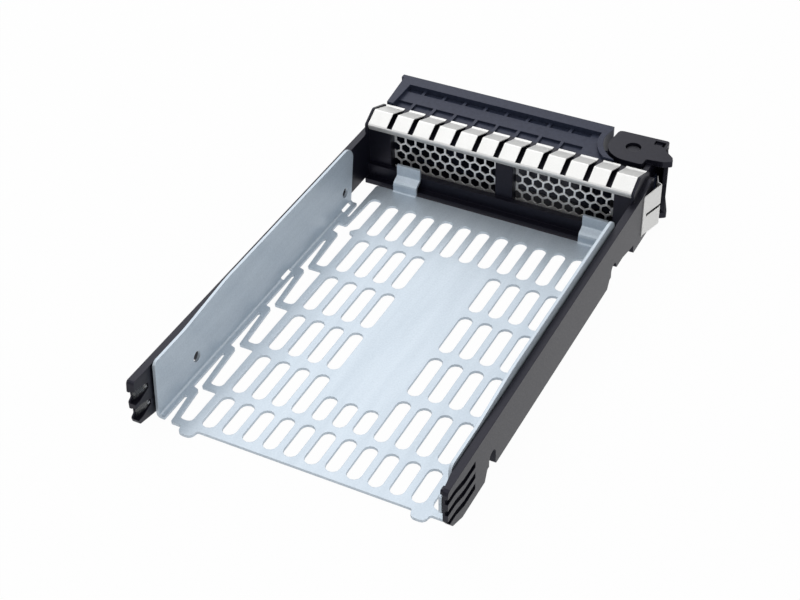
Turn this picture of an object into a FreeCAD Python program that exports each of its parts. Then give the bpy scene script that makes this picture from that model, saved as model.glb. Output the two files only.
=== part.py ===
import FreeCAD, Part
import math
import os

# Hot-swap tray for a 3.5-inch hard drive. Millimetres.
# X runs across the tray, Y from the tail to the front lever, Z up from the underside of the floor.

# Steel tray
drive_width = 101.6
drive_play = 0.1
sheet = 1.0
bend_radius = 0.8
floor_length = 143.2
flange_height = 24.3
flange_rear_drop = 2.5
flange_rear_step = 0.7
flange_front_step = 13.4
flange_front_lean = 4.2
slope_start = 19.6
slope_end = 45.6
tongue_reach = 5.1
tongue_levels = (8.4, 15.2)
screw_spacing = 101.6
screw_height = 6.35
screw_hole = 4.0
first_screw = 24.4
bump_radius = 3.1
tab_width = 9.6
tab_offset_right = 40.0
tab_offset_left = 34.9
tab_step_height = 5.0
tab_slope = 1.5
tab_height = 10.7
tab_reach = 4.0
relief_starts = (78.0, 122.6)
relief_length = 6.2

# Floor slots and the row of flexures along the left bend
slot_width = 5.0
slot_pitch = 7.44
slot_side_margin = 3.57
slot_chords = 3
row_pitch = 23.32
row_length = 20.2
rear_row_length = 15.4
rear_row_margin = 10.4
rear_row_step = 20.4
front_row_margin = 5.6
short_slot = 12.0
solid_columns = (5, 6, 7)
strip_width = 2.1
slit_width = 1.2
web_width = 2.5

# Plastic frame
rail_gap = 0.5
rail_thickness = 2.7
rail_top = 20.8
rail_low = 2.2
tail_low = 1.3
tail_reach = 7.8
right_tail_step = 1.0
right_rail_lift = 4.0
tail_edge = 1.6
tail_taper = 8.4
access_radius = 2.4
groove_height = 2.5
groove_depth = 1.0
bezel_depth = 16.2
deck_top = 24.0
deck_thickness = 2.0
beam_height = 7.0
screen_offset = 5.0
window_left = (-43.5, -0.4)
window_right = (6.4, 45.5)
cheek_thickness = 0.9

# Contact strip, side clip and vent screen
spring_sheet = 0.35
strip_clearance = 0.25
finger_count = 12
finger_slit = 2.1
lip_low = 22.0
lip_top = 24.4
lip_tilt = 1.2
ridge_offset = 6.3
ridge_top = 27.8
finger_tip_offset = 15.6
clip_rear_offset = 6.2
clip_length = 10.6
clip_bow = 2.7
clip_low = 2.8
clip_height = 17.0
clip_slit = 1.2
screen_sheet = 0.5
screen_play = 0.1
cell_flats = 3.4
cell_pitch = 4.1
cell_overrun = 1.2

# Lever, hinge corner, pin, button and spring
lever_gap = 0.7
lever_depth = 20.2
lever_top = 25.0
lever_wall = 1.8
lever_top_wall = 3.0
front_plate = 1.9
front_lip = 1.1
recess_depth = 1.5
recess_front = 5.6
recess_side = 3.6
front_pocket = 2.8
rear_pocket = 5.0
pocket_rib = 1.2
pocket_floor = 0.6
end_radius = 14.5
end_centre = (2.87, 2.4)
end_ridge = 2.2
pivot_inset = 12.3
pivot_offset = 11.3
ear_radius = 9.2
ear_plate = 2.4
ear_web = 2.0
ear_side_wall = 1.7
cam_length = 9.6
hub_radius = 4.2
hub_play = 0.3
pin_radius = 2.0
pin_play = 0.05
hub_bore_play = 0.08
pin_head_radius = 2.8
pin_head = 0.8
head_sink = 1.0
button_centre = -26.0
button_width = 19.4
button_height = 8.4
button_middle = 12.5
button_play = 0.3
button_proud = 0.6
button_shoulder = 2.4
button_gap = 0.05
leaf_sheet = 0.35
leaf_width = 4.0
leaf_half = 2.8
leaf_folds = 4
leaf_length = 10.4
leaf_play = 0.05
rib_thickness = 1.6

# Light pipes in the left rail
pipe_height = 1.9
pipe_width = 1.5
pipe_play = 0.1
pipe_wall = 0.5
upper_pipe_level = 14.6
lower_pipe_level = 7.7
pipe_end_height = 5.0
pipe_flare = 7.5
pipe_setback = 1.6
pipe_facet = 4.0

# Positions that follow from the sizes
flange_inner = drive_width / 2 + drive_play
flange_outer = flange_inner + sheet
flat_edge = flange_inner - bend_radius
floor_rear = -floor_length / 2
floor_front = floor_length / 2
flange_rear = floor_rear + flange_rear_step
flange_front = floor_front - flange_front_step
screw_rows = (floor_rear + first_screw, floor_rear + first_screw + screw_spacing)
screw_level = sheet + screw_height
rail_inner = flange_outer + rail_gap
rail_outer = rail_inner + rail_thickness
tail_rear = floor_rear - tail_reach
bezel_rear = floor_front + tab_reach
bezel_front = bezel_rear + bezel_depth
deck_under = deck_top - deck_thickness
screen_rear = bezel_rear + screen_offset
slot_end = slot_width / 2 - 0.02
strip_half = rail_inner - strip_clearance
finger_pitch = 2 * strip_half / finger_count
lever_rear = bezel_front + lever_gap
lever_front = lever_rear + lever_depth
lever_back_of_front = lever_front - front_plate
pivot_x = rail_outer - pivot_inset
pivot_y = bezel_front + pivot_offset
ear_top_under = lever_top - ear_plate
lever_top_under = lever_top - lever_top_wall
button_back = lever_back_of_front - button_gap - button_shoulder
rib_front = button_back - leaf_length
pipe_levels = (upper_pipe_level, lower_pipe_level)

Vector = FreeCAD.Vector
upward = Vector(0, 0, 1)


def place_on(plane, level):
    """Return a function that puts a flat (a, b) point on a plane at the given level."""
    if plane == "xy":
        return lambda p: Vector(p.x, p.y, level)
    if plane == "yz":
        return lambda p: Vector(level, p.x, p.y)
    return lambda p: Vector(p.x, level, p.y)


def chord_points(start, middle, end, chords):
    """Points that split the arc through three points into equal chords, ends included."""
    curve = Part.Arc(start, middle, end).toShape()
    return curve.discretize(chords + 1)


def rounded(before, corner, after):
    """Start, middle and end of the tangent arc that rounds a corner; one point if it is sharp."""
    point = Vector(corner[0], corner[1], 0)
    radius = corner[2] if len(corner) > 2 else 0
    if radius == 0:
        return [point]
    back = (Vector(before[0], before[1], 0) - point).normalize()
    ahead = (Vector(after[0], after[1], 0) - point).normalize()
    half = back.getAngle(ahead) / 2
    reach = radius / math.tan(half)
    centre = point + (back + ahead).normalize() * (radius / math.sin(half))
    middle = centre + (point - centre).normalize() * radius
    return [point + back * reach, middle, point + ahead * reach]


def outline(corners, place):
    """Closed wire through corners (a, b), (a, b, radius) or (a, b, radius, chords).

    A radius is a true arc, or the given number of chords where the corner repeats often.
    """
    runs = []
    count = len(corners)
    for index, corner in enumerate(corners):
        run = rounded(corners[index - 1], corner, corners[(index + 1) % count])
        if len(run) == 3 and len(corner) == 4:
            run = chord_points(run[0], run[1], run[2], corner[3])
            runs += [[point] for point in run]
        else:
            runs.append(run)
    edges = []
    for index, run in enumerate(runs):
        if len(run) == 3:
            edges.append(Part.Arc(place(run[0]), place(run[1]), place(run[2])).toShape())
        following = runs[(index + 1) % len(runs)][0]
        if (following - run[-1]).Length > 1e-6:
            edges.append(Part.makeLine(place(run[-1]), place(following)))
    return Part.Wire(edges)


def prism(corners, plane, low, high):
    """Extrude a rounded outline from one level to another across its plane."""
    face = Part.Face(outline(corners, place_on(plane, low)))
    return face.extrude(place_on(plane, high - low)(Vector(0, 0, 0)))


def pierced(corners, plane, low, high, holes):
    """Extruded outline with a list of outlines cut right through it."""
    tools = [prism(hole, plane, low - 1, high + 1) for hole in holes]
    return prism(corners, plane, low, high).cut(tools)


def rectangle(low_a, high_a, low_b, high_b, *rounding):
    """Corners of a rectangle, each with the same radius and chords if any are given."""
    return [
        (low_a, low_b, *rounding),
        (high_a, low_b, *rounding),
        (high_a, high_b, *rounding),
        (low_a, high_b, *rounding),
    ]


def block(x_span, y_span, z_span):
    """Rectangular solid between pairs of limits."""
    return prism(rectangle(x_span[0], x_span[1], y_span[0], y_span[1]), "xy", z_span[0], z_span[1])


def thick_path(path, thickness, bend, chords):
    """Corners of a bent strip: a path and its copy one thickness to the left of its direction.

    Every bend has the same inner radius, and its outer radius is larger by the thickness.
    """
    points = [Vector(a, b, 0) for a, b in path]
    normals = []
    for first, second in zip(points, points[1:]):
        along = (second - first).normalize()
        normals.append(Vector(-along.y, along.x, 0))
    first_end = points[0] + normals[0] * thickness
    front = [(points[0].x, points[0].y)]
    back = [(first_end.x, first_end.y)]
    for index in range(1, len(points) - 1):
        before = normals[index - 1]
        after = normals[index]
        bisector = (before + after).normalize()
        shifted = points[index] + bisector * (thickness / bisector.dot(after))
        turns_left = before.cross(after).z > 0
        outer = bend + thickness
        front.append((points[index].x, points[index].y, outer if turns_left else bend, chords))
        back.append((shifted.x, shifted.y, bend if turns_left else outer, chords))
    last_end = points[-1] + normals[-1] * thickness
    front.append((points[-1].x, points[-1].y))
    back.append((last_end.x, last_end.y))
    return front + back[::-1]


def mirrored(shape):
    """Mirror image across the tray's centre plane."""
    return shape.mirror(Vector(0, 0, 0), Vector(1, 0, 0))


def slot_rows():
    """Rear and front ends of every row of floor slots."""
    middle = floor_rear + rear_row_margin
    rows = [(middle - rear_row_length / 2, middle + rear_row_length / 2)]
    middle += rear_row_step
    while middle + row_length / 2 + front_row_margin <= floor_front:
        rows.append((middle - row_length / 2, middle + row_length / 2))
        middle += row_pitch
    return rows


# Points across the flexures, counted from the left flange
strip_edge = -flange_inner + strip_width
slit_right = strip_edge + slit_width
bar_corner = -flange_inner + 4.9
link_rear = -flange_inner + 6.25
link_front = -flange_inner + 4.8
link_right = -flange_inner + 10.9
tab_rear_inset = 5.3
tab_front_inset = 0.7


def slot_columns():
    """Slot centres across the floor, counted from the right flange."""
    columns = []
    centre = flange_inner - slot_side_margin
    while centre - slot_width / 2 >= link_right + 2.0:
        columns.append(centre)
        centre -= slot_pitch
    return columns


def floor_slots():
    """Outlines of the plain slots; the middle columns stay solid between the end rows."""
    rows = slot_rows()
    slots = []
    for row, (rear, front) in enumerate(rows):
        for column, centre in enumerate(slot_columns()):
            end = front
            if column in solid_columns and row == 1:
                end = rear + short_slot
            if column in solid_columns and 1 < row < len(rows) - 1:
                continue
            half = slot_width / 2
            slots.append(rectangle(centre - half, centre + half, rear, end, slot_end, slot_chords))
    return slots


def flexure_holes():
    """S-shaped openings that leave a slanted spring bar between the floor and the left strip."""
    rows = slot_rows()
    holes = []
    for (rear, front), (next_rear, next_front) in zip(rows[:-2], rows[1:-1]):
        holes.append(
            [
                (link_rear, rear, 1.7, 3),
                (link_right, rear, 1.7, 3),
                (link_right, next_rear - web_width, 1.2, 2),
                (bar_corner, next_rear - web_width, 0.5, 1),
                (slit_right, next_front - tab_rear_inset, 0.5, 1),
                (strip_edge, next_front - tab_rear_inset, 0.5, 1),
                (strip_edge, front - tab_front_inset, 0.5, 1),
                (link_front, front - tab_front_inset - 0.8, 0.6, 1),
            ]
        )
    return holes


def front_flexure_hole():
    """The last opening, which runs into the front row's slot round the nose of a web."""
    rear, front = slot_rows()[-2]
    next_rear, next_front = slot_rows()[-1]
    return [
        (link_rear, rear, 1.7, 3),
        (link_right, rear, 1.7, 3),
        (link_right, front + 0.4, 0.4, 1),
        (link_right - 3.0, front + 2.0, 0.7, 1),
        (link_right, next_rear + 2.0, 0.4, 1),
        (link_right, next_front + 0.8, 2.0, 3),
        (link_right - 4.6, next_front + 0.8, 2.0, 3),
        (link_right - 5.4, next_rear + 2.0, 0.5, 1),
        (strip_edge, next_rear + 2.0, 0.4, 1),
        (strip_edge, front + 0.4, 0.4, 1),
        (link_front + 0.4, front - tab_front_inset, 0.5, 1),
    ]


def edge_bump(centre):
    """Corners of a rounded bump on the floor's rear edge."""
    return [
        (centre - bump_radius, floor_rear, 0.7, 2),
        (centre - bump_radius + 0.7, floor_rear - bump_radius, 2.0, 4),
        (centre + bump_radius - 0.7, floor_rear - bump_radius, 2.0, 4),
        (centre + bump_radius, floor_rear, 0.7, 2),
    ]


def tray_floor():
    """Slotted floor with its flexures, cut from one flat outline."""
    first_front = slot_rows()[0][1]
    slit_rear = slot_rows()[-1][0] + 7.0
    front_left = -flange_inner + 4.0
    strip_front = -flange_inner + 2.7
    front_right = flange_inner - 3.9
    corners = [
        (-flat_edge, flange_rear),
        (strip_edge, flange_rear),
        (strip_edge, first_front - tab_rear_inset, 0.5, 1),
        (slit_right, first_front - tab_rear_inset, 0.5, 1),
        (bar_corner, floor_rear, 0.4, 1),
    ]
    corners += edge_bump(-flange_inner + 11.9)
    corners += edge_bump(flange_inner - 7.9)
    corners += [
        (flat_edge, floor_rear),
        (flat_edge, flange_front),
        (front_right, flange_front + 1.2, 0.8, 2),
        (front_right, floor_front, 1.0, 2),
        (front_left, floor_front, 1.0, 2),
        (front_left, slit_rear, 0.4, 1),
        (strip_front, slit_rear, 0.4, 1),
        (strip_front, flange_front, 0.4, 1),
        (-flat_edge, flange_front),
    ]
    holes = floor_slots() + flexure_holes() + [front_flexure_hole()]
    return pierced(corners, "xy", 0, sheet, holes)


def flange_outline(tongue):
    """Side view of a flange: leaning ends, a top that slopes to a lower rear, rounded corners."""
    front_high = flange_front + flange_front_lean
    rear_height = flange_height - flange_rear_drop
    corners = [
        (flange_rear, 0),
        (flange_front, 0),
        (front_high, flange_height, 5.0),
        (flange_rear + slope_end, flange_height, 60.0),
        (flange_rear + slope_start, rear_height, 60.0),
        (flange_rear + 1.8, rear_height, 2.2),
    ]
    if tongue:
        low, high = tongue_levels
        corners += [(flange_rear + 1.2, high), (flange_rear - tongue_reach, high, 0.6, 2)]
        corners += [(flange_rear - tongue_reach, low, 0.6, 2), (flange_rear + 0.6, low)]
    return corners


def flange(tongue):
    """Right side flange with its bend, trimmed to its side view and drilled for drive screws."""
    section = [
        (flat_edge, 0),
        (flange_outer, 0, bend_radius + sheet),
        (flange_outer, flange_height),
        (flange_inner, flange_height),
        (flange_inner, sheet, bend_radius),
        (flat_edge, sheet),
    ]
    bent = prism(section, "xz", flange_rear - 6, floor_front)
    shape = bent.common(prism(flange_outline(tongue), "yz", flat_edge - 1, flange_outer + 1))
    drills = []
    for screw in screw_rows:
        start = Vector(flange_inner - 1, screw, screw_level)
        drills.append(Part.makeCylinder(screw_hole / 2, sheet + 2, start, Vector(1, 0, 0)))
    return shape.cut(drills)


def front_tab(centre):
    """Stepped tab folded up from the floor's front edge to meet the bezel."""
    face = floor_front + sheet - 0.4
    path = [
        (floor_front - 3.0, 0),
        (face, 0),
        (face, tab_step_height - sheet),
        (bezel_rear, tab_step_height - sheet + tab_slope),
        (bezel_rear, tab_height),
    ]
    section = thick_path(path, sheet, 0.6, 2)
    return prism(section, "yz", centre - tab_width / 2, centre + tab_width / 2)


def bend_reliefs():
    """Openings through the left bend, beside the flexures."""
    across = (-flange_outer - 1, -flat_edge + 0.15)
    tools = []
    for start in relief_starts:
        along = (floor_rear + start, floor_rear + start + relief_length)
        tools.append(block(across, along, (-1, sheet + bend_radius)))
    return tools


def steel_tray():
    """One folded sheet: floor, two flanges, two front tabs, and relief slits in the left bend."""
    left = mirrored(flange(False))
    tabs = [front_tab(tab_offset_right), front_tab(-tab_offset_left)]
    whole = tray_floor().fuse([left, flange(True)] + tabs)
    return whole.cut(bend_reliefs()).removeSplitter()


def access_notch(screw, low_before, low_after):
    """Corners of a rail's open-bottomed arch round a drive screw, met by a slope from behind."""
    top = screw_level + access_radius
    return [
        (screw - access_radius - 3.0, low_before),
        (screw - access_radius - 1.2, 5.3, 0.4, 1),
        (screw - access_radius, 5.3),
        (screw - access_radius, top, access_radius - 0.05),
        (screw + access_radius, top, access_radius - 0.05),
        (screw + access_radius, low_after, 0.8, 2),
    ]


def tail_bite(level):
    """Corners of a shallow bite in the tail's end, from its top down."""
    half = pipe_height / 2 + pipe_play
    return [
        (tail_rear, level + half + 0.9, 0.5, 1),
        (tail_rear + 1.5, level + half, 0.4, 1),
        (tail_rear + 1.5, level - half, 0.4, 1),
        (tail_rear, level - half - 0.9, 0.5, 1),
    ]


def left_tail():
    """Corners of the left tail's end, from its top round two bites to its heel."""
    corners = [(tail_rear + 0.6, rail_top, 1.0, 2)]
    for level in pipe_levels:
        corners += tail_bite(level)
    return corners + [(tail_rear + 0.6, 3.4, 1.0, 2)]


def right_tail():
    """Corners of the right tail's end, a straight edge above a slanted heel."""
    end = tail_rear + right_tail_step
    return [(end, rail_top, 1.5, 2), (end, 8.4, 0.8, 2), (end + 3.2, 4.0, 2.0, 2)]


def rail_outline(tail, front_low):
    """Side view of a rail: the given tail end, a heel, two screw arches and the bezel's end."""
    corners = tail + [(tail_rear + 11.0, tail_low, 3.0)]
    corners += access_notch(screw_rows[0], tail_low, rail_low)
    corners += access_notch(screw_rows[1], rail_low, front_low)
    corners += [
        (screw_rows[1] + 9.0, front_low),
        (bezel_rear - 1.0, min(front_low, 3.8)),
        (bezel_rear + 1.0, min(front_low, 3.0)),
        (bezel_rear + 1.0, rail_top),
    ]
    return corners


def tail_wedge():
    """Tool that thins the right tail from inside towards its end."""
    inside = flange_inner - 1
    plan = [
        (inside, tail_rear - 1),
        (rail_outer - tail_edge, tail_rear - 1),
        (rail_outer - tail_edge, tail_rear),
        (rail_inner, tail_rear + tail_taper),
        (inside, tail_rear + tail_taper),
    ]
    return prism(plan, "xy", 0, rail_top + 1)


def tail_grooves():
    """Three wavy finger grooves on the outer face of the right tail, open at its end."""
    tools = []
    front = tail_rear + 19.8
    for low in (14.2, 9.6, 5.0):
        rear_low = low + 1.6
        corners = [
            (tail_rear - 1, rear_low),
            (tail_rear + 6.0, rear_low, 3.0, 2),
            (tail_rear + 12.0, low, 3.0, 2),
            (front, low),
            (front, low + groove_height),
            (tail_rear + 12.0, low + groove_height, 3.0, 2),
            (tail_rear + 6.0, rear_low + groove_height - 0.4, 3.0, 2),
            (tail_rear - 1, rear_low + groove_height - 0.4),
        ]
        tools.append(prism(corners, "yz", rail_outer - groove_depth, rail_outer + 1))
    return tools


def tail_hook():
    """Small catch inside the right tail, just above the flange's tongue."""
    low = tongue_levels[1] + 0.4
    rear = flange_rear - tongue_reach + 0.4
    corners = rectangle(rear, rear + 2.6, low, low + 2.2, 0.5, 1)
    return prism(corners, "yz", flange_inner + 0.4, rail_inner + 1.0)


def pipe_end(level, margin):
    """Side view of a light pipe's flared rear end, widened by a margin."""
    wide = pipe_end_height / 2 + margin
    narrow = pipe_height / 2 + margin
    return [
        (tail_rear, level + wide),
        (tail_rear, level - wide),
        (tail_rear + 2.5, level - wide),
        (tail_rear + pipe_flare, level - narrow),
        (tail_rear + pipe_flare, level + narrow),
        (tail_rear + 2.5, level + wide),
    ]


def pipe_grooves():
    """Grooves for the light pipes in the left rail's outer face, open to the inside at the tail."""
    tools = []
    inner = -rail_inner - pipe_wall
    outer = inner - pipe_width - pipe_play
    half = pipe_height / 2 + pipe_play
    for level in pipe_levels:
        along = (tail_rear + pipe_flare - 0.5, bezel_front + 1)
        tools.append(block((-rail_outer - 1, inner), along, (level - half, level + half)))
        tools.append(prism(pipe_end(level, pipe_play), "yz", outer, -rail_inner + 0.2))
    return tools


def bezel_side():
    """Right side wall of the bezel, sloping up from the rail's top to the front."""
    corners = [
        (bezel_rear - 1.0, 0, 0.6, 1),
        (bezel_front, 0),
        (bezel_front, 22.4, 0.6, 1),
        (bezel_front - 3.0, 23.0, 0.6, 1),
        (bezel_rear + 4.5, rail_top),
        (bezel_rear - 1.0, rail_top),
    ]
    return prism(corners, "yz", rail_inner, rail_outer)


def cheek():
    """Guard at the right end of the contact strip, a little prouder than the fingers."""
    corners = [
        (bezel_rear, rail_top - 1),
        (bezel_rear, lip_top + 0.1, 0.4, 1),
        (bezel_rear + ridge_offset, ridge_top + 0.3, 1.6, 2),
        (bezel_rear + finger_tip_offset, deck_top + 0.6, 0.4, 1),
        (bezel_front, rail_top - 1),
    ]
    return prism(corners, "yz", rail_inner, rail_inner + cheek_thickness)


def bezel_box():
    """Decks, beam, posts and the ledges that hold the screen."""
    span = (-rail_inner - 0.1, rail_inner + 0.1)
    posts = ((span[0], window_left[0]), (window_left[1], window_right[0]), (window_right[1], span[1]))
    deck_rear = bezel_rear + lip_tilt + spring_sheet + 0.1
    pieces = [
        block(span, (deck_rear, bezel_front), (deck_under, deck_top)),
        block(span, (bezel_rear - 2.8, bezel_front), (0, 2.0)),
        block(span, (bezel_rear, bezel_rear + 2.5), (1.0, beam_height)),
    ]
    for post in posts:
        pieces.append(block(post, (deck_rear, screen_rear), (1.0, deck_under + 0.5)))
    front = screen_rear + screen_sheet
    for side in (-1, 1):
        limits = sorted((side * (rail_inner - 2.4), side * (rail_inner + 0.1)))
        pieces.append(block(limits, (front, front + 1.6), (1.0, deck_under + 0.5)))
    return pieces


def from_pivot(plan):
    """Corners of a plan moved from the pivot to their place."""
    return [(pivot_x + corner[0], pivot_y + corner[1]) + corner[2:] for corner in plan]


def ear_outline(right_side):
    """Plan of a hinge ear: a round left side, a stepped rear and the given right side."""
    plan = [
        (-8.4, 8.4, 1.6, 2),
        (-ear_radius, 0),
        (-ear_radius, -ear_radius, ear_radius - 0.05),
        (6.75, -ear_radius, 1.4, 2),
        (6.75, -5.4, 0.5, 1),
    ]
    return from_pivot(plan + right_side)


def ear_walls():
    """Front web, slanted side wall and the inner wall that ties the ears to the bezel."""
    front = [(-8.4, 8.4, 1.2, 2), (10.2, 8.9), (10.2, 8.9 - ear_web), (-7.6, 8.4 - ear_web, 0.6, 1)]
    side = [(14.8, -3.4), (10.2, 8.9), (10.2 - ear_side_wall, 8.9), (14.8 - ear_side_wall, -3.4)]
    walls = [prism(from_pivot(plan), "xy", 1.0, lever_top - 1.0) for plan in (front, side)]
    inner = (pivot_x + 7.2, pivot_x + 9.2)
    tie = block(inner, (screen_rear + screen_sheet, pivot_y + 8.0), (1.0, deck_top - 0.6))
    window = block((inner[0] - 1, inner[1] + 1), (pivot_y - 7.6, pivot_y + 5.4), (6.2, 16.8))
    walls.append(tie.cut(window))
    return walls


def hinge_corner():
    """Top and bottom ears with the pin's holes, the walls between them and a small top notch."""
    hooked = [(13.0, -4.6, 1.0, 2), (16.1, -2.9, 0.8, 2), (15.1, -0.5, 0.8, 2)]
    waist = [(11.3, 2.8, 1.5, 2), (10.9, 8.9, 1.0, 2)]
    plain = [(13.0, -4.6, 1.0, 2), (15.7, -2.9, 0.8, 2), (14.8, -0.5, 0.8, 2), (10.9, 8.9, 1.0, 2)]
    top = prism(ear_outline(hooked + waist), "xy", ear_top_under, lever_top)
    bottom = prism(ear_outline(plain), "xy", 0, ear_plate)
    hole = Part.makeCylinder(pin_radius + pin_play, lever_top + 2, Vector(pivot_x, pivot_y, -1))
    head_seat = Vector(pivot_x, pivot_y, lever_top - pin_head - head_sink)
    head_hole = Part.makeCylinder(pin_head_radius + pin_play, 4, head_seat)
    slot = prism(from_pivot(rectangle(8.9, 10.1, 4.4, 7.4)), "xy", lever_top - 1.4, lever_top + 1)
    pad = prism(from_pivot(rectangle(6.0, 9.0, 4.8, 7.4)), "xy", lever_top - 0.8, lever_top + 1)
    solid = top.fuse([bottom] + ear_walls())
    return solid.cut([hole, head_hole, slot, pad])


def frame():
    """One moulding: rails, bezel box, strip guards and hinge corner."""
    right_view = rail_outline(right_tail(), rail_low + right_rail_lift)
    right = prism(right_view, "yz", rail_inner, rail_outer).cut(tail_grooves() + [tail_wedge()])
    left = mirrored(prism(rail_outline(left_tail(), rail_low), "yz", rail_inner, rail_outer))
    sides = [bezel_side(), cheek(), mirrored(bezel_side()), mirrored(cheek())]
    shape = right.fuse([left, tail_hook()] + sides + bezel_box() + [hinge_corner()])
    return shape.cut(pipe_grooves()).removeSplitter()


def emi_top_strip():
    """Spring strip: a continuous lip, then fingers that arch over the deck and rest on it."""
    foot_top = deck_top + spring_sheet
    path = [
        (bezel_rear + finger_tip_offset + 0.5, foot_top),
        (bezel_rear + finger_tip_offset - 0.8, foot_top),
        (bezel_rear + ridge_offset, ridge_top),
        (bezel_rear, lip_top),
        (bezel_rear + lip_tilt, lip_low),
    ]
    section = thick_path(path, spring_sheet, 0.5, 2)
    strip = prism(section, "yz", -strip_half, strip_half)
    slits = []
    for index in range(1, finger_count):
        centre = -strip_half + index * finger_pitch
        limits = (centre - finger_slit / 2, centre + finger_slit / 2)
        slits.append(block(limits, (bezel_rear + 0.6, bezel_front + 2), (deck_top + 0.3, ridge_top + 1)))
        slits.append(block(limits, (bezel_rear + 3.0, bezel_front + 2), (deck_top - 1, ridge_top + 1)))
    return strip.cut(slits)


def emi_side_clip():
    """Two-finger clip that bows out of the right side wall and folds in again at the front."""
    rear = bezel_rear + clip_rear_offset
    front = rear + clip_length
    path = [
        (rail_outer - 0.4, front + 4.4),
        (rail_outer + 1.0, front + 0.9),
        (rail_outer + clip_bow, front),
        (rail_outer, rear + 1.2),
        (rail_outer, rear),
    ]
    section = thick_path(path, spring_sheet, 0.3, 2)
    clip = prism(section, "xy", clip_low, clip_low + clip_height)
    low = clip_low + 0.45 * clip_height
    slit = block((rail_outer - 4, rail_outer + 6), (rear + 2.2, front + 6), (low, low + clip_slit))
    return clip.cut(slit)


def screen_cells():
    """Six-sided cells, points up, that fill both bezel windows and run past their edges."""
    reach = cell_flats / math.sqrt(3)
    rise = cell_pitch * math.sqrt(3) / 2
    cells = []
    for window in (window_left, window_right):
        level = beam_height + 0.4
        row = 0
        while level + reach < deck_under - 1.0:
            centre = window[0] - cell_overrun + cell_flats / 2 + (row % 2) * cell_pitch / 2
            while centre + cell_flats / 2 <= window[1] + cell_overrun:
                cell = []
                for step in range(6):
                    angle = math.radians(30 + 60 * step)
                    cell.append((centre + reach * math.cos(angle), level + reach * math.sin(angle)))
                cells.append(cell)
                centre += cell_pitch
            level += rise
            row += 1
    return cells


def vent_screen():
    """Perforated sheet between the decks, against the posts."""
    edge = rail_inner - 0.4
    corners = rectangle(-edge, edge, 2.0 + screen_play, deck_under - screen_play, 0.5, 1)
    return pierced(corners, "xz", screen_rear, screen_rear + screen_sheet, screen_cells())


def end_cylinder(radius, low, high):
    """Upright cylinder round the hinge end of the lever."""
    centre = Vector(pivot_x + end_centre[0], pivot_y + end_centre[1], low)
    return Part.makeCylinder(radius, high - low, centre, upward)


def lever_plan(inset, rear, front):
    """Plan of the lever's body with a slanted left side, drawn in by an inset."""
    return [
        (-rail_outer + 2.4 + inset, rear),
        (pivot_x - 1.0, rear),
        (pivot_x - 1.0, front),
        (-rail_outer + 0.5 + inset, front),
    ]


def lever_shell():
    """Hollow body, open at the rear, with a full front plate that overhangs on the left."""
    body = prism(lever_plan(0, lever_rear, lever_back_of_front), "xy", 0, lever_top)
    plate = block(
        (-rail_outer + 0.5 - front_lip, pivot_x - 11.0),
        (lever_back_of_front, lever_front),
        (0, lever_top),
    )
    inside = lever_plan(lever_wall, lever_rear - 1, lever_back_of_front)
    hollow = prism(inside, "xy", lever_wall, lever_top_under)
    hollow = hollow.cut(end_cylinder(end_radius + lever_wall, 0, lever_top))
    solid = body.cut(hollow).fuse(plate)
    return solid.cut(end_cylinder(end_radius, -1, lever_top + 1))


def finger_lines():
    """Positions across the lever that continue the slits of the contact strip."""
    lines = []
    for index in range(1, finger_count):
        line = -strip_half + index * finger_pitch
        if line < pivot_x - 16.0:
            lines.append(line)
    return lines


def lever_top_cuts():
    """Recess of the lever's top, with a row of shallow pockets along its front and rear edges."""
    front = lever_front - recess_front
    left = -rail_outer + 1.4 + recess_side
    recess = block((left, pivot_x), (lever_rear - 1, front), (lever_top - recess_depth, lever_top + 1))
    tools = [recess.cut(end_cylinder(end_radius + end_ridge, 0, lever_top + 2))]
    edges = [left - pocket_rib / 2] + finger_lines()
    levels = (lever_top_under + pocket_floor, lever_top)
    for start, end in zip(edges, edges[1:]):
        limits = (start + pocket_rib / 2, end - pocket_rib / 2)
        tools.append(block(limits, (lever_rear - 1, lever_rear + rear_pocket), levels))
        tools.append(block(limits, (front - front_pocket, front), levels))
    return tools


def lever_vents():
    """Two rows of air slots and the button's opening in the front plate."""
    span = (lever_back_of_front - 1, lever_front + 1)
    tools = []
    centre = button_centre + button_width / 2 + 10.0
    while centre + 5.2 < pivot_x - 15.0:
        for level in (8.2, 16.8):
            corners = rectangle(centre - 4.2, centre + 4.2, level - 2.6, level + 2.6, 1.2, 2)
            tools.append(prism(corners, "xz", span[0], span[1]))
        centre += 10.6
    half_width = button_width / 2 + button_play
    half_height = button_height / 2 + button_play
    corners = rectangle(
        button_centre - half_width,
        button_centre + half_width,
        button_middle - half_height,
        button_middle + half_height,
        1.5,
        2,
    )
    tools.append(prism(corners, "xz", span[0], span[1]))
    return tools


def lever_hub():
    """Knuckle between the ears with its arm and the short cam that pushes the tray out."""
    low = ear_plate + hub_play
    high = ear_top_under - hub_play
    hub = Part.makeCylinder(hub_radius, high - low, Vector(pivot_x, pivot_y, low))
    arm = block((pivot_x - 11.6, pivot_x), (pivot_y - 4.0, pivot_y + 2.0), (6.0, 19.0))
    cam_plan = rectangle(0, cam_length, -1.2, 2.2, 1.2, 2)
    cam = prism(from_pivot(cam_plan), "xy", 8.0, 15.0)
    return hub.fuse([arm, cam])


def ejector_lever():
    """Front lever with its hub, stepped top, vents and the rib that backs the button's spring."""
    across = (button_centre - leaf_half - 0.4, button_centre + leaf_half + 0.4)
    rib = block(across, (rib_front - rib_thickness, rib_front), (1.0, lever_top_under + 0.4))
    shape = lever_shell().cut(lever_top_cuts() + lever_vents())
    shape = shape.fuse([rib, lever_hub()])
    bore = Part.makeCylinder(pin_radius + hub_bore_play, lever_top, Vector(pivot_x, pivot_y, 0))
    return shape.cut(bore).removeSplitter()


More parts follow.
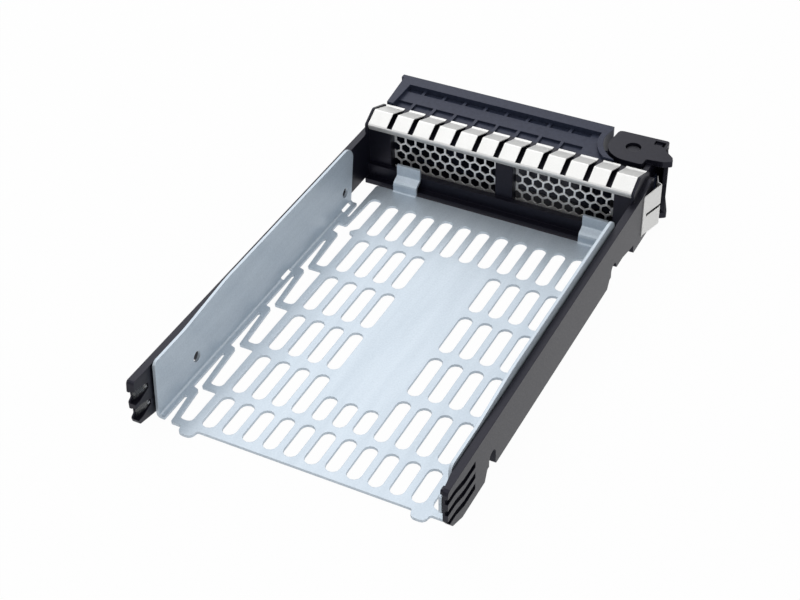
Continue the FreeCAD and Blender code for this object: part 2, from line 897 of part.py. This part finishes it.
def lever_pivot_pin():
    """Headed pin through both ears and the hub."""
    head_low = lever_top - pin_head - head_sink
    profile = [
        (0, 0.3),
        (pin_radius, 0.3),
        (pin_radius, head_low),
        (pin_head_radius, head_low),
        (pin_head_radius, head_low + pin_head - 0.3),
        (pin_head_radius - 0.3, head_low + pin_head),
        (0, head_low + pin_head),
    ]
    face = Part.Face(outline(profile, place_on("xz", 0)))
    pin = face.revolve(Vector(0, 0, 0), upward, 360)
    pin.translate(Vector(pivot_x, pivot_y, 0))
    return pin


def release_button():
    """Push button: rounded pad, retaining shoulder and two side arms."""
    half_width = button_width / 2
    half_height = button_height / 2
    left = button_centre - half_width
    right = button_centre + half_width
    low = button_middle - half_height
    high = button_middle + half_height
    pad_plan = rectangle(left, right, low, high, 1.2, 3)
    pad = prism(pad_plan, "xz", button_back + 1.0, lever_front + button_proud)
    shoulder_plan = rectangle(left - 1.0, right + 1.0, low - 1.0, high + 1.0, 1.2, 2)
    pieces = [prism(shoulder_plan, "xz", button_back, button_back + button_shoulder)]
    for centre in (left + 2.6, right - 2.6):
        arm = rectangle(centre - 2.2, centre + 2.2, low + 0.8, high - 0.8, 0.8, 1)
        pieces.append(prism(arm, "xz", button_back - 7.5, button_back + 1.0))
    return pad.fuse(pieces).removeSplitter()


def release_spring():
    """Folded leaf spring between the lever's rib and the button's shoulder."""
    start = rib_front + leaf_play
    step = (leaf_length - 2 * leaf_play - leaf_sheet) / leaf_folds
    left = button_centre - leaf_half
    right = button_centre + leaf_half
    path = [(left, start)]
    for fold in range(leaf_folds):
        side = left if fold % 2 else right
        path += [(side, start + fold * step), (side, start + (fold + 1) * step)]
    path.append((right if leaf_folds % 2 == 0 else left, start + leaf_folds * step))
    section = thick_path(path, leaf_sheet, 0.4, 2)
    half = leaf_width / 2
    return prism(section, "xy", button_middle - half, button_middle + half)


def light_pipe(level):
    """Clear bar in the left rail's groove, with a flared rear end cut on the slant."""
    inner = -rail_inner - pipe_wall
    outer = inner - pipe_width
    half = pipe_height / 2
    bar = block((outer, inner), (tail_rear + pipe_flare - 0.5, bezel_front), (level - half, level + half))
    flare = prism(pipe_end(level, 0), "yz", outer, inner)
    facet = [
        (outer - 1, tail_rear - 1),
        (outer - 1, tail_rear + pipe_setback),
        (outer, tail_rear + pipe_setback),
        (inner, tail_rear + pipe_setback + pipe_facet),
        (inner + 1, tail_rear + pipe_setback + pipe_facet),
        (inner + 1, tail_rear - 1),
    ]
    shape = bar.fuse(flare).cut(prism(facet, "xy", 0, rail_top))
    return shape.removeSplitter()


nodes = {
    "frame": frame(),
    "steel_tray": steel_tray(),
    "emi_top_strip": emi_top_strip(),
    "emi_side_clip": emi_side_clip(),
    "vent_screen": vent_screen(),
    "ejector_lever": ejector_lever(),
    "lever_pivot_pin": lever_pivot_pin(),
    "release_button": release_button(),
    "release_spring": release_spring(),
    "light_pipe_upper": light_pipe(upper_pipe_level),
    "light_pipe_lower": light_pipe(lower_pipe_level),
}

os.makedirs("parts", exist_ok=True)
for name, shape in nodes.items():
    solids = shape.Solids
    print(name, "solids", len(solids), "valid", shape.isValid(), "volume", round(shape.Volume, 1))
    solids[0].exportStep("parts/" + name + ".step")
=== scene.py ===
import bpy
import math
from mathutils import Matrix, Vector


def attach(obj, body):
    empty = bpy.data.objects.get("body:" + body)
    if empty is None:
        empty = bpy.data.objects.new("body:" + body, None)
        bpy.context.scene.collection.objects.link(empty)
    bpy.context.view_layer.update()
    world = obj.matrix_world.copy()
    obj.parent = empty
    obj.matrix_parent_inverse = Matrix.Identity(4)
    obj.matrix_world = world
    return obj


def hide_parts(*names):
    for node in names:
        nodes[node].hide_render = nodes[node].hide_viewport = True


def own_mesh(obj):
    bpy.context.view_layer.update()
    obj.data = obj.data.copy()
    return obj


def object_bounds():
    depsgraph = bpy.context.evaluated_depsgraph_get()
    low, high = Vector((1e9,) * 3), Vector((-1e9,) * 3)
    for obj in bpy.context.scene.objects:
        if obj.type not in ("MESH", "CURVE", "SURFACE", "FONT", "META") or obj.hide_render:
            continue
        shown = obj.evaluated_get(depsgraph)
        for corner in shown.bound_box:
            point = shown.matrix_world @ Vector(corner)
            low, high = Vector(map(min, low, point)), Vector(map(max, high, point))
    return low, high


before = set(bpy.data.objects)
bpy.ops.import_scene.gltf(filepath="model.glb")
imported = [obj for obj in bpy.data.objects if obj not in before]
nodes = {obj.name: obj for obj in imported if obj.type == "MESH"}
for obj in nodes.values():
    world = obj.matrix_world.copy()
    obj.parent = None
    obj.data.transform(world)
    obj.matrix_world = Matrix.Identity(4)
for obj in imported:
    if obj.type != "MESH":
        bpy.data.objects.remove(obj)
cad_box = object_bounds()
scene = bpy.context.scene
scene.view_settings.view_transform = "Standard"

# Camera fitted to the photograph: angles in degrees, distances in metres, focal length in pixels
photo_width = 800
sensor_width = 36
camera_azimuth = 27.97
camera_elevation = 39.40
camera_roll = -1.53
camera_distance = 0.5467
camera_target = (-0.0078, 0.0142, 0.001)
focal_pixels = 1577.7

# Floor: half its side and its gap under the part in metres, and how white it looks
floor_half = 4.0
floor_gap = 0.0002
floor_white = 0.97

# The part of the noise range that colours and roughness are spread over
noise_low = 0.3
noise_high = 0.7

# Plastics: darkest and lightest colour, roughness from and to, specular level
plastics = {
    "black_plastic": ((0.003, 0.003, 0.006), (0.006, 0.006, 0.011), (0.33, 0.44), 0.27),
    "lever_plastic": ((0.018, 0.023, 0.042), (0.029, 0.036, 0.062), (0.40, 0.52), 0.28),
    "plum_plastic": ((0.160, 0.022, 0.060), (0.200, 0.030, 0.075), (0.22, 0.34), 0.4),
}
plastic_tint = (0.80, 0.80, 1.0, 1)

# Metals: darkest and lightest colour, roughness from and to, metallic share, grain per metre
metals = {
    "zinc_steel": ((0.46, 0.53, 0.60), (0.60, 0.67, 0.74), (0.38, 0.46), 0.4, 1800),
    "spring_steel": ((0.68, 0.68, 0.67), (0.76, 0.76, 0.75), (0.36, 0.44), 0.6, 2400),
    # Vent screen: its own zinc plating as on the tray, drawn much paler as painted light standing in
    # for the light falling on the screen from the rear
    "screen_steel": ((0.80, 0.80, 0.80), (0.90, 0.90, 0.90), (0.30, 0.38), 0.5, 2400),
    "pin_steel": ((0.018, 0.018, 0.024), (0.032, 0.032, 0.040), (0.40, 0.52), 0.7, 900),
    "spring_wire": ((0.42, 0.42, 0.43), (0.56, 0.56, 0.57), (0.26, 0.38), 0.9, 900),
}

# Light guides: darkest and lightest colour
guide_dark = (0.12, 0.13, 0.14)
guide_light = (0.26, 0.27, 0.29)

# Which material each CAD node wears
node_materials = {
    "frame": "black_plastic",
    "steel_tray": "zinc_steel",
    "emi_top_strip": "spring_steel",
    "emi_side_clip": "spring_steel",
    "vent_screen": "screen_steel",
    "ejector_lever": "lever_plastic",
    "lever_pivot_pin": "pin_steel",
    "release_button": "plum_plastic",
    "release_spring": "spring_wire",
    "light_pipe_upper": "clear_plastic",
    "light_pipe_lower": "clear_plastic",
}

# Room light: upward part of the direction and the level there, then the share left at the rear
room_levels = [(0.05, 0.9), (0.35, 0.35), (0.6, 0.35), (0.8, 0.6)]
rear_share = 0.35

# Soft boxes: place, aim and size in metres, power in watts
soft_boxes = {
    "front_box": ((-0.38, 0.46, 0.66), (0, -0.02, 0), 0.65, 2.1),
    "top_box": ((-0.15, -0.15, 0.85), (0, 0.03, 0), 0.9, 1.5),
    "side_box": ((0.6, -0.7, 0.40), (0, 0.05, 0.01), 0.5, 2.2),
}


def make_camera():
    """Camera at the photograph's angle."""
    azimuth = math.radians(camera_azimuth)
    elevation = math.radians(camera_elevation)
    roll = math.radians(camera_roll)
    flat = math.cos(elevation)
    back = Vector((math.sin(azimuth) * flat, -math.cos(azimuth) * flat, math.sin(elevation)))
    level = Vector((math.cos(azimuth), math.sin(azimuth), 0))
    upright = back.cross(level)
    right = math.cos(roll) * level + math.sin(roll) * upright
    up = math.cos(roll) * upright - math.sin(roll) * level
    data = bpy.data.cameras.new("photo_camera")
    data.sensor_width = sensor_width
    data.lens = sensor_width * focal_pixels / photo_width
    camera = bpy.data.objects.new("photo_camera", data)
    turn = Matrix((right, up, back)).transposed().to_4x4()
    camera.matrix_world = Matrix.Translation(Vector(camera_target) + back * camera_distance) @ turn
    scene.collection.objects.link(camera)
    scene.camera = camera


def add(tree, kind, inputs=None, **settings):
    """New shader node with its settings and input values."""
    node = tree.nodes.new(kind)
    for key, value in settings.items():
        setattr(node, key, value)
    for key, value in (inputs or {}).items():
        node.inputs[key].default_value = value
    return node


def new_material(name):
    """Empty material with its tree and main shader."""
    material = bpy.data.materials.new(name)
    material.use_nodes = True
    tree = material.node_tree
    return material, tree, tree.nodes["Principled BSDF"]


def surface_place(tree, stretch=(1, 1, 1)):
    """Object coordinates in metres, stretched by a factor per axis."""
    mapping = add(tree, "ShaderNodeMapping", {"Scale": stretch})
    tree.links.new(add(tree, "ShaderNodeTexCoord").outputs["Object"], mapping.inputs["Vector"])
    return mapping.outputs["Vector"]


def noise(tree, place, scale, detail):
    """Noise value over the surface."""
    node = add(tree, "ShaderNodeTexNoise", {"Scale": scale, "Detail": detail, "Roughness": 0.55})
    tree.links.new(place, node.inputs["Vector"])
    return node.outputs["Fac"]


def ramp(tree, value, dark, light):
    """Colours from dark to light across a noise value."""
    node = add(tree, "ShaderNodeValToRGB")
    first, last = node.color_ramp.elements
    first.position = noise_low
    last.position = noise_high
    first.color = (*dark, 1)
    last.color = (*light, 1)
    tree.links.new(value, node.inputs["Fac"])
    return node.outputs["Color"]


def spread(tree, value, low, high):
    """Noise value mapped to a low and a high number."""
    limits = {"From Min": noise_low, "From Max": noise_high, "To Min": low, "To Max": high}
    node = add(tree, "ShaderNodeMapRange", limits)
    tree.links.new(value, node.inputs["Value"])
    return node.outputs["Result"]


def relief(tree, shader, value, strength, depth, edge):
    """Surface relief from a value, over edges rounded by a small radius."""
    bevel = add(tree, "ShaderNodeBevel", {"Radius": edge}, samples=4)
    bump = add(tree, "ShaderNodeBump", {"Strength": strength, "Distance": depth})
    tree.links.new(value, bump.inputs["Height"])
    tree.links.new(bevel.outputs["Normal"], bump.inputs["Normal"])
    tree.links.new(bump.outputs["Normal"], shader.inputs["Normal"])


def moulded_plastic(name, dark, light, rough, shine):
    """Moulded plastic with a fine spark-eroded grain and slight cloudiness."""
    material, tree, shader = new_material(name)
    place = surface_place(tree)
    cloud = noise(tree, place, 700, 4)
    fine = noise(tree, place, 2600, 2)
    tree.links.new(ramp(tree, cloud, dark, light), shader.inputs["Base Color"])
    tree.links.new(spread(tree, fine, *rough), shader.inputs["Roughness"])
    shader.inputs["Specular IOR Level"].default_value = shine
    shader.inputs["Specular Tint"].default_value = plastic_tint
    relief(tree, shader, fine, strength=0.3, depth=0.00004, edge=0.0002)
    return material


def sheet_metal(name, dark, light, rough, metal, grain):
    """Plated or rolled sheet: faint rolling lines over a fine crystal grain."""
    material, tree, shader = new_material(name)
    lines = noise(tree, surface_place(tree, (260, 24, 260)), 1, 3)
    fine = noise(tree, surface_place(tree), grain, 3)
    crystal = add(tree, "ShaderNodeMix", {"Factor": 0.6}, data_type="RGBA")
    tree.links.new(ramp(tree, lines, dark, light), crystal.inputs["A"])
    tree.links.new(ramp(tree, fine, dark, light), crystal.inputs["B"])
    tree.links.new(crystal.outputs["Result"], shader.inputs["Base Color"])
    tree.links.new(spread(tree, fine, *rough), shader.inputs["Roughness"])
    shader.inputs["Metallic"].default_value = metal
    relief(tree, shader, fine, strength=0.01, depth=0.00002, edge=0.00015)
    return material


def clear_plastic(name):
    """Smoky clear acrylic with faint flow marks."""
    material, tree, shader = new_material(name)
    flow = noise(tree, surface_place(tree, (900, 60, 900)), 1, 2)
    tree.links.new(ramp(tree, flow, guide_dark, guide_light), shader.inputs["Base Color"])
    tree.links.new(spread(tree, flow, 0.06, 0.16), shader.inputs["Roughness"])
    shader.inputs["Transmission Weight"].default_value = 0.8
    shader.inputs["IOR"].default_value = 1.49
    relief(tree, shader, flow, strength=0.1, depth=0.00003, edge=0.00015)
    return material


def dress_nodes():
    """Materials for every CAD node."""
    made = {"clear_plastic": clear_plastic("clear_plastic")}
    for name, values in plastics.items():
        made[name] = moulded_plastic(name, *values)
    for name, values in metals.items():
        made[name] = sheet_metal(name, *values)
    for node, name in node_materials.items():
        mesh = nodes[node].data
        mesh.materials.clear()
        mesh.materials.append(made[name])


def make_leaf_spring():
    """Leaf spring behind the button, copied from the CAD node in its place and carried with the lever.
    """
    spring = bpy.data.objects.new("leaf_spring", nodes["release_spring"].data.copy())
    scene.collection.objects.link(spring)
    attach(spring, "lever")
    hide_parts("release_spring")
    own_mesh(spring)


def seen_directly(tree):
    """One for rays from the camera, through glass and off shiny faces, and zero for the rest."""
    path = add(tree, "ShaderNodeLightPath")
    seen = path.outputs["Is Camera Ray"]
    for kind in ("Is Transmission Ray", "Is Glossy Ray"):
        either = add(tree, "ShaderNodeMath", operation="MAXIMUM")
        tree.links.new(seen, either.inputs[0])
        tree.links.new(path.outputs[kind], either.inputs[1])
        seen = either.outputs["Value"]
    return seen


def floor_material():
    """Pale matt floor that looks nearly white and keeps a faint shadow."""
    material, tree, shader = new_material("pale_floor")
    shader.inputs["Base Color"].default_value = (0.93, 0.93, 0.93, 1)
    shader.inputs["Roughness"].default_value = 0.9
    shader.inputs["Specular IOR Level"].default_value = 0.1
    white = add(tree, "ShaderNodeEmission", {"Color": (1, 1, 1, 1), "Strength": 1})
    share = add(tree, "ShaderNodeMath", {1: floor_white}, operation="MULTIPLY")
    tree.links.new(seen_directly(tree), share.inputs[0])
    mix = add(tree, "ShaderNodeMixShader")
    tree.links.new(share.outputs["Value"], mix.inputs[0])
    tree.links.new(shader.outputs["BSDF"], mix.inputs[1])
    tree.links.new(white.outputs["Emission"], mix.inputs[2])
    tree.links.new(mix.outputs["Shader"], tree.nodes["Material Output"].inputs["Surface"])
    return material


def make_floor():
    """Square floor just under the part."""
    mesh = bpy.data.meshes.new("floor")
    corners = [(-1, -1), (1, -1), (1, 1), (-1, 1)]
    mesh.from_pydata([(x * floor_half, y * floor_half, 0) for x, y in corners], [], [(0, 1, 2, 3)])
    mesh.materials.append(floor_material())
    floor = bpy.data.objects.new("floor", mesh)
    floor.location.z = cad_box[0].z - floor_gap
    scene.collection.objects.link(floor)


def room_light(tree):
    """Light of the room by direction: pale horizon, dim band, brighter ceiling, dimmer to the rear."""
    direction = add(tree, "ShaderNodeSeparateXYZ")
    tree.links.new(add(tree, "ShaderNodeTexCoord").outputs["Generated"], direction.inputs["Vector"])
    height = add(tree, "ShaderNodeValToRGB")
    first, last = height.color_ramp.elements
    first.position = room_levels[0][0]
    last.position = room_levels[-1][0]
    for position, _ in room_levels[1:-1]:
        height.color_ramp.elements.new(position)
    for element, (_, level) in zip(height.color_ramp.elements, room_levels):
        element.color = (level, level, level, 1)
    tree.links.new(direction.outputs["Z"], height.inputs["Fac"])
    limits = {"From Min": -0.6, "From Max": 0.4, "To Min": rear_share, "To Max": 1}
    rear = add(tree, "ShaderNodeMapRange", limits)
    tree.links.new(direction.outputs["Y"], rear.inputs["Value"])
    both = add(tree, "ShaderNodeMath", operation="MULTIPLY")
    tree.links.new(height.outputs["Color"], both.inputs[0])
    tree.links.new(rear.outputs["Result"], both.inputs[1])
    return both.outputs["Value"]


def make_world():
    """White surround where it is seen directly, and the room's own light for everything else."""
    world = bpy.data.worlds.new("studio")
    scene.world = world
    world.use_nodes = True
    tree = world.node_tree
    background = tree.nodes["Background"]
    background.inputs["Color"].default_value = (1, 1, 1, 1)
    strength = add(tree, "ShaderNodeMix", {"B": 1}, data_type="FLOAT")
    tree.links.new(seen_directly(tree), strength.inputs["Factor"])
    tree.links.new(room_light(tree), strength.inputs["A"])
    tree.links.new(strength.outputs["Result"], background.inputs["Strength"])


def make_soft_box(name, place, aim, size, power):
    """Square soft box that points at a spot."""
    data = bpy.data.lights.new(name, "AREA")
    data.size = size
    data.energy = power
    light = bpy.data.objects.new(name, data)
    light.location = place
    light.rotation_mode = "QUATERNION"
    light.rotation_quaternion = (Vector(aim) - Vector(place)).to_track_quat("-Z", "Y")
    scene.collection.objects.link(light)


make_camera()
dress_nodes()
make_leaf_spring()
make_floor()
make_world()
for name, values in soft_boxes.items():
    make_soft_box(name, *values)
